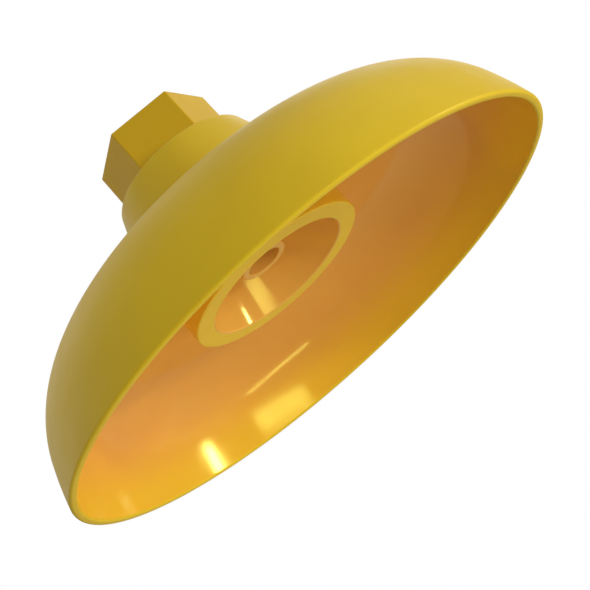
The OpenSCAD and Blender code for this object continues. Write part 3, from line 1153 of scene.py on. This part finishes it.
def make_floor():
    mesh = bmesh.new()
    bmesh.ops.create_circle(mesh, cap_ends=True, segments=96, radius=FLOOR_RADIUS)
    floor = new_piece("floor", mesh)
    floor.location.z = -FLOOR_DEPTH
    finish = Finish("pale floor")
    finish.shade(Base_Color=finish.blend(finish.noise(60), (0.80, 0.80, 0.79), (0.84, 0.84, 0.83)),
                 Roughness=finish.between(finish.noise(8), 0.6, 0.7))
    finish.bumps([(finish.noise(1.5), 0.02)])
    floor.data.materials.append(finish.material)
    floor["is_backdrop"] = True


make_floor()
print("floor below the rim, m:", FLOOR_DEPTH)

# %% [markdown]
# ## Lamps and room
#
# The key is a narrow softbox low on the right, so inside the bell it lights
# mostly the far left wall, and the rest glows orange in its own yellow light. A
# wide box in front and a long strip under it are what the polished bell and cup
# mirror. Big soft boxes below, above and behind lift the shadows. All the lamps
# are plain white. An image of a studio could light the head instead, but lamps
# can each be moved. The room's own light is faintly warm and fades from the
# ceiling down to the horizon, but the camera sees plain white behind the head.

# %% Lamps and room
LAMP_DISTANCE = 1.5
LAMP_AIM = Vector((0, 0, 0.045))


def softbox(name, azimuth, elevation, width, height, power, roll=0):
    """A rectangular lamp seen from the bell at those angles, in metres and watts."""
    data = bpy.data.lights.new(name, "AREA")
    data.shape = "RECTANGLE"
    data.size = width
    data.size_y = height
    data.energy = power
    lamp = bpy.data.objects.new(name, data)
    back = towards(azimuth, elevation)
    lamp.matrix_world = Matrix.Translation(LAMP_AIM + back * LAMP_DISTANCE) @ facing(back, roll)
    bpy.context.scene.collection.objects.link(lamp)
    print(f"{name}: {power} W, {lamp.matrix_world.translation.z + FLOOR_DEPTH:.2f} m over the floor")


CEILING_LIGHT = 0.58
HORIZON_LIGHT = 0.11
FADE_LOW = 0.05
FADE_HIGH = 0.7
ROOM_TINT = (1, 0.96, 0.92, 1)
ROOM_SEEN = 1.0


def make_room():
    """A world whose light fades between two heights of its unit sphere, but is seen as plain white."""
    world = bpy.data.worlds.new("room")
    bpy.context.scene.world = world
    world.use_nodes = True
    nodes = world.node_tree.nodes
    links = world.node_tree.links
    lit = nodes["Background"]
    lit.inputs["Color"].default_value = ROOM_TINT
    direction = nodes.new("ShaderNodeTexCoord")
    parts = nodes.new("ShaderNodeSeparateXYZ")
    fade = nodes.new("ShaderNodeMapRange")
    fade.interpolation_type = "SMOOTHSTEP"
    fade.inputs["From Min"].default_value = FADE_LOW
    fade.inputs["From Max"].default_value = FADE_HIGH
    fade.inputs["To Min"].default_value = HORIZON_LIGHT
    fade.inputs["To Max"].default_value = CEILING_LIGHT
    links.new(direction.outputs["Generated"], parts.inputs[0])
    links.new(parts.outputs["Z"], fade.inputs["Value"])
    links.new(fade.outputs["Result"], lit.inputs["Strength"])
    seen = nodes.new("ShaderNodeBackground")
    seen.inputs["Color"].default_value = (1, 1, 1, 1)
    seen.inputs["Strength"].default_value = ROOM_SEEN
    rays = nodes.new("ShaderNodeLightPath")
    mix = nodes.new("ShaderNodeMixShader")
    links.new(rays.outputs["Is Camera Ray"], mix.inputs[0])
    links.new(lit.outputs[0], mix.inputs[1])
    links.new(seen.outputs[0], mix.inputs[2])
    links.new(mix.outputs[0], nodes["World Output"].inputs["Surface"])


make_room()
softbox("key", 77, -12, 0.11, 0.24, 7)
softbox("window", 35, -18, 0.72, 0.2, 4)
softbox("below right", 85, -42, 1.2, 0.9, 1.5)
softbox("strip below", 31, -46, 0.86, 0.08, 2.5, -16.6)
softbox("overhead", 67, 45, 1.2, 1.2, 1)
softbox("behind right", 150, 25, 1.0, 1.2, 3)
softbox("behind left", 232, 32, 1.4, 1.4, 1.6)
bpy.context.scene.view_settings.view_transform = "Standard"

# %% [markdown]
# ## Both boxes
#
# The finished pieces must fill the same box as the CAD model, so both boxes
# are printed side by side at the end.

# %% Sizes and end
sizes = {"cad": [list(corner) for corner in cad_box],
         "visual": [list(corner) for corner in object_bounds()]}
for name, box in sizes.items():
    print(name, "box, mm:", [[round(x / MM, 1) for x in corner] for corner in box])
